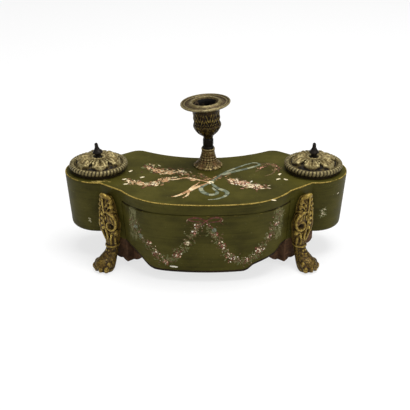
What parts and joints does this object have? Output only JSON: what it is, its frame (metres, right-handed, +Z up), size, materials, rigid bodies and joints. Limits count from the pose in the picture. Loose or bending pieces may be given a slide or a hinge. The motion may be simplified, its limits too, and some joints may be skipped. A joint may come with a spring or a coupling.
{
  "type": "desk inkstand",
  "caption": "Painted bow-front desk inkstand with a drawer, lidded ink wells at its round ends, paw feet and a candle holder.",
  "frame": {"origin": "on the floor, under the middle of the whole object", "axes": "+X to the viewer's right, +Y to the back, +Z up; the drawer opens towards -Y"},
  "size_m": [0.26, 0.1334, 0.1437],
  "materials": {
    "case_paint": "aged olive green paint with a worn gold edge and small painted flowers",
    "bare_wood": "unpainted light wood",
    "bracket_wood": "brown worn wood",
    "gilt_bronze": "cast, aged gilt bronze with dark recesses",
    "pale_gilt": "cast and chased, pale aged gilding",
    "dark_bronze": "nearly black patinated bronze",
    "iron": "dark iron",
    "glass": "clear pressed glass"
  },
  "bodies": {
    "case": {"top_board": "case_paint", "bottom_board": "case_paint", "end_wall_left": "case_paint", "end_wall_right": "case_paint", "front_post_left": "case_paint", "front_post_right": "case_paint", "back_post_left": "case_paint", "back_post_right": "case_paint", "back_wall": "case_paint", "partition_left": "bare_wood", "partition_right": "bare_wood", "drawer_guide_left": "bare_wood", "drawer_guide_right": "bare_wood", "bracket_front_left": "bracket_wood", "bracket_front_right": "bracket_wood", "bracket_back_left": "bracket_wood", "bracket_back_right": "bracket_wood", "leg_front_left": "gilt_bronze", "leg_front_right": "gilt_bronze", "leg_back_left": "gilt_bronze", "leg_back_right": "gilt_bronze", "candle_foot": "gilt_bronze", "collar_left": "gilt_bronze", "collar_right": "gilt_bronze", "candle_nozzle": "pale_gilt", "candle_stem": "dark_bronze", "candle_cup": "dark_bronze", "candle_rod": "iron", "candle_nut": "iron", "hinge_pin_left": "iron", "hinge_pin_right": "iron", "ink_glass_left": "glass", "ink_glass_right": "glass"},
    "drawer": {"drawer_front": "case_paint", "drawer_side_left": "bare_wood", "drawer_side_right": "bare_wood", "drawer_back": "bare_wood", "drawer_bottom": "bare_wood"},
    "left_lid": {"lid_left": "pale_gilt", "lid_strap_left": "pale_gilt", "finial_left": "dark_bronze"},
    "right_lid": {"lid_right": "pale_gilt", "lid_strap_right": "pale_gilt", "finial_right": "dark_bronze"}
  },
  "joints": [
    {"name": "drawer_slide", "type": "slide", "parent": "case", "child": "drawer", "axis": [0, -1, 0], "range_m": [0, 0.055]},
    {"name": "left_lid_hinge", "type": "hinge", "parent": "case", "child": "left_lid", "pos_m": [-0.099, 0.0352, 0.086], "axis": [-1, 0, 0], "range_deg": [0, 100]},
    {"name": "right_lid_hinge", "type": "hinge", "parent": "case", "child": "right_lid", "pos_m": [0.099, 0.0352, 0.086], "axis": [-1, 0, 0], "range_deg": [0, 100]}
  ]
}
